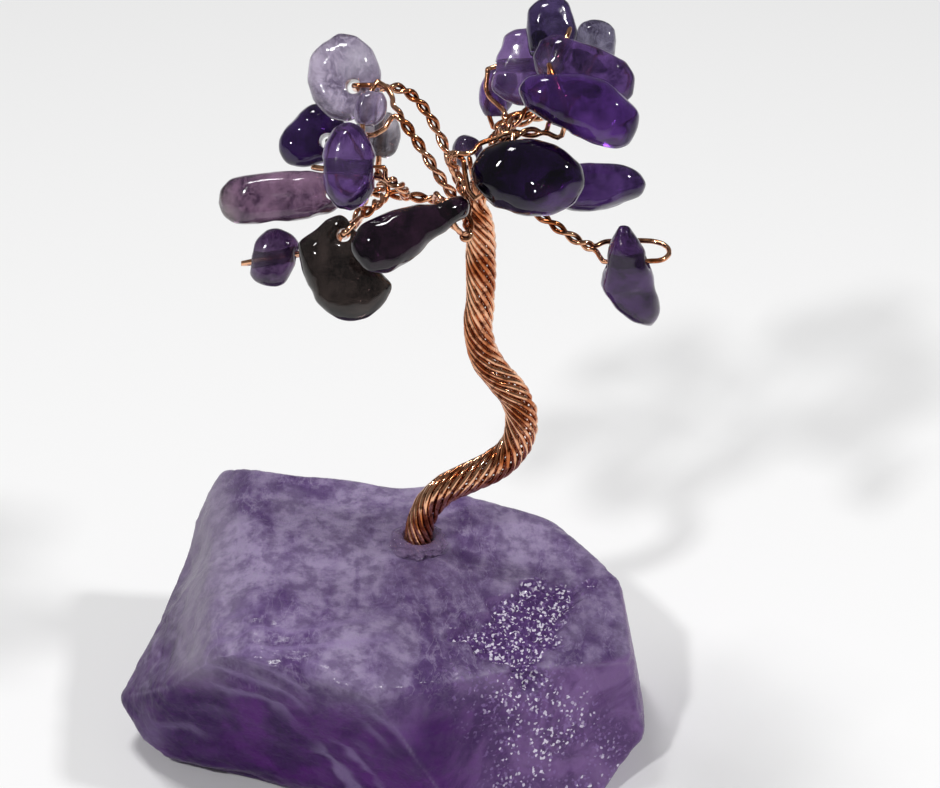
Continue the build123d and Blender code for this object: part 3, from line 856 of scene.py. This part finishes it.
def ground_colour(tree, place, blotches):
    """The block's own colour: deep on its sides, pale on top, with blotches and a whitish corner."""
    sides = add_node(tree, "ShaderNodeSeparateXYZ", {0: place}).outputs
    across = sides[0]
    height = sides[2]
    normal = add_node(tree, "ShaderNodeNewGeometry").outputs["Normal"]
    upward = ranged(tree, add_node(tree, "ShaderNodeSeparateXYZ", {0: normal}).outputs[2], 0.45, 0.9)
    sideways = ranged(tree, upward, 0.0, 1.0, 1.0, 0.0)
    front = use_group(tree, clouds, Deep=front_deep, Pale=front_pale, Seed=4.0, Veil=0.45)
    top = use_group(tree, clouds, Deep=top_deep, Pale=top_pale, Seed=9.0, Veil=0.7)
    for cloudy in (front, top):
        cloudy.inputs["Size"].default_value = block_cloud_size
    rim = ranged(tree, height, 8.0 * mm, 11.5 * mm, 0.0, 0.7)
    topward = worked_out(tree, "MAXIMUM", upward, rim)
    colour = mixed(tree, topward, front.outputs["Colour"], top.outputs["Colour"])
    colour = mixed(tree, ranged(tree, blotches, 0.37, 0.57, 0.55, 0.0), colour, dark_blotch)
    on_top = worked_out(tree, "MULTIPLY", ranged(tree, blotches, 0.50, 0.72, 0.0, 0.65), upward)
    colour = mixed(tree, on_top, colour, pale_blotch)
    rightward = ranged(tree, across, 2.0 * mm, 10.0 * mm, 0.0, 0.7)
    broken_up = ranged(tree, front.outputs["Mask"], 0.0, 1.0, 0.45, 1.0)
    side_share = worked_out(tree, "MULTIPLY", sideways, broken_up)
    right_front = worked_out(tree, "MULTIPLY", rightward, side_share)
    colour = mixed(tree, right_front, colour, right_front_tone)
    leftward = ranged(tree, across, -8.0 * mm, -13.0 * mm)
    high = ranged(tree, height, 7.0 * mm, 11.0 * mm, 0.0, 0.8)
    return mixed(tree, worked_out(tree, "MULTIPLY", leftward, high), colour, frost_tone)


def weathered(tree, colour, blotches):
    """Adds the pale worn edges, the faint bands and the druzy patch."""
    patchy = ranged(tree, blotches, 0.35, 0.6, 0.15, 0.75)
    worn = worked_out(tree, "MULTIPLY", mask_on(tree, "worn"), patchy)
    bands = worked_out(tree, "MULTIPLY", mask_on(tree, "strata"), 0.55)
    colour = mixed(tree, worn, colour, worn_tone)
    colour = mixed(tree, bands, colour, band_tone)
    return mixed(tree, mask_on(tree, "druzy"), colour, druzy_tone)


def with_painted_glints(tree, colour, glitter, glint):
    """Paints dull and bright glints into the colour as painted highlights, the more the stronger the
    glitter mask is.
    """
    chance = worked_out(tree, "MULTIPLY_ADD", glitter, 0.26, glint)
    dull = ranged(tree, chance, 0.90, 0.99, 0.0, 0.6)
    near_druzy = ranged(tree, glitter, 0.02, 0.2)
    colour = mixed(tree, worked_out(tree, "MULTIPLY", dull, near_druzy), colour, painted_dull_glint)
    return mixed(tree, ranged(tree, chance, 1.03, 1.12), colour, painted_bright_glint)


def make_block_finish():
    """Rough amethyst: cloudy and weathered, dull where it is worn and glittering where it is druzy."""
    material, tree, shader = new_material("rough_amethyst")
    place = place_in(tree)
    glitter = mask_on(tree, "glitter")
    blotches = noise_at(tree, place, 0.75, 6.0, Roughness=0.66)
    crystals = use_group(tree, sparkle, Grains=6.5, Tilt=1.2)
    colour = weathered(tree, ground_colour(tree, place, blotches), blotches)
    # Painted highlights: glints are mixed into the colour, besides the tilted normals.
    colour = with_painted_glints(tree, colour, glitter, crystals.outputs["Glint"])
    grained = bumped(tree, noise_at(tree, place, 1.5, 8.0, Roughness=0.72), 0.8, 0.25 * mm)
    normal = add_node(tree, "ShaderNodeMix", data_type="VECTOR")
    for index, value in ((0, glitter), (4, grained), (5, crystals.outputs["Normal"])):
        feed(tree, value, normal.inputs[index])
    roughness = ranged(tree, glitter, 0.0, 0.8, 0.28, 0.07)
    feed_shader(tree, shader, Base_Color=colour, Roughness=roughness, Normal=normal.outputs[1])
    feed_shader(tree, shader, Specular_IOR_Level=0.1, Coat_Weight=0.1, Coat_Roughness=0.12)
    feed_shader(tree, shader, Subsurface_Weight=0.15, Subsurface_Scale=0.4 * mm)
    feed_shader(tree, shader, Subsurface_Radius=(1.0, 0.5, 1.2))
    return material


block.data.materials.append(make_block_finish())
hand_over(block, "base_stone")
print("material", block.data.materials[0].name)

# %% [markdown]
# The glue that holds the trunk is a clear, glossy bead that crept unevenly over the stone before it
# set. It could be glass, but so thin a bead would mostly show the dark stone below it. So it is a
# tinted gloss that is half see-through. Its solid is already a ring round the trunk. The copy is
# rounded, and then its outer rim is drawn in by noise, more in some places than in others.

# %% The glue bead
bead_voxel = 0.06 * mm
bead_passes = 6
rim_range = (0.45, 1.0)
glue_dark = rgb(0.16, 0.09, 0.24)
glue_pale = rgb(0.38, 0.28, 0.46)


def make_glue():
    """Clear glossy glue with soft waves, tinted by the stone below it."""
    material, tree, shader = new_material("clear_glue")
    waves = noise_at(tree, place_in(tree), 1.6, 2.0)
    colour = mixed(tree, waves, glue_dark, glue_pale)
    normal = bumped(tree, waves, 1.0, 0.5 * mm)
    feed_shader(tree, shader, Base_Color=colour, Normal=normal, Roughness=0.04, IOR=1.5, Alpha=0.5)
    return material


bead = copy_of("glue_bead", "clear_glue_bead")
rebuild(bead, bead_voxel)
smooth(bead, bead_passes)
bead_low, bead_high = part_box("glue_bead")
bead_middle = Vector([(low + high) / 2 for low, high in zip(bead_low, bead_high)])
bead_reach = (bead_high[0] - bead_low[0]) / 2


def creep(place):
    """Draws the bead's outer rim in, unevenly, as glue that crept and set."""
    away = Vector((place.x - bead_middle.x, place.y - bead_middle.y, 0))
    share = step(away.length / bead_reach, *rim_range)
    broad = 0.30 * max(0.0, noise.noise(place / (0.9 * mm)))
    uneven = 0.20 + broad + 0.1 * noise.noise(place / (0.35 * mm))
    return place - away * share * uneven


move_points(bead, [creep(vert.co) for vert in bead.data.vertices])
bead.data.materials.append(make_glue())
hand_over(bead, "glue_bead")
print("bead from", in_mm(bead_low), "to", in_mm(bead_high), len(bead.data.polygons), "faces")

# %% [markdown]
# The tree stands on a plain white floor in soft studio light. A sky alone would light it evenly and
# leave the polish without highlights, and one small lamp would cast a hard shadow. So there is a broad
# box above and behind, and two smaller lamps in front and at the right give the chips their sharp
# highlights. A faint even sky keeps the shadows soft.

# %% The floor
floor_size = 3.0
floor_tone = rgb(0.93, 0.93, 0.93)

bpy.ops.mesh.primitive_plane_add(size=floor_size)
floor = bpy.context.object
floor.name = "floor"
floor_finish, floor_tree, floor_shader = new_material("white_floor")
feed_shader(floor_tree, floor_shader, Base_Color=floor_tone, Roughness=0.9)
floor.data.materials.append(floor_finish)
print("floor", floor_size, "m wide")

# %% [markdown]
# Each lamp has a place, the place it looks at, a width, all in millimetres, and a power. Its turn
# could be typed as three angles, but aiming it at a place is easier to read and to change.

# %% The lamps and the sky
Lamp = namedtuple("Lamp", "place aim width power")
sky_strength = 0.15
lamps = {
    "top_box": Lamp((-70, 60, 330), (0, 0, 20), 70, 0.48),
    "front_key": Lamp((-130, -200, 290), (0, 0, 25), 24, 0.44),
    "right_key": Lamp((190, -40, 240), (0, 0, 25), 24, 0.32),
}
for name, plan in lamps.items():
    place = Vector(plan.place) * mm
    toward = Vector(plan.aim) * mm - place
    turn = toward.to_track_quat("-Z", "Y").to_euler()
    bpy.ops.object.light_add(type="AREA", location=place, rotation=turn)
    lamp = bpy.context.object
    lamp.name = name
    lamp.data.size = plan.width * mm
    lamp.data.energy = plan.power
    print(name, "at", in_mm(lamp.location, 0))

world = bpy.data.worlds.new("studio")
bpy.context.scene.world = world
world.use_nodes = True
sky = world.node_tree.nodes["Background"]
sky.inputs["Color"].default_value = rgb(1.0, 1.0, 1.0)
sky.inputs["Strength"].default_value = sky_strength
bpy.context.scene.view_settings.view_transform = "Standard"
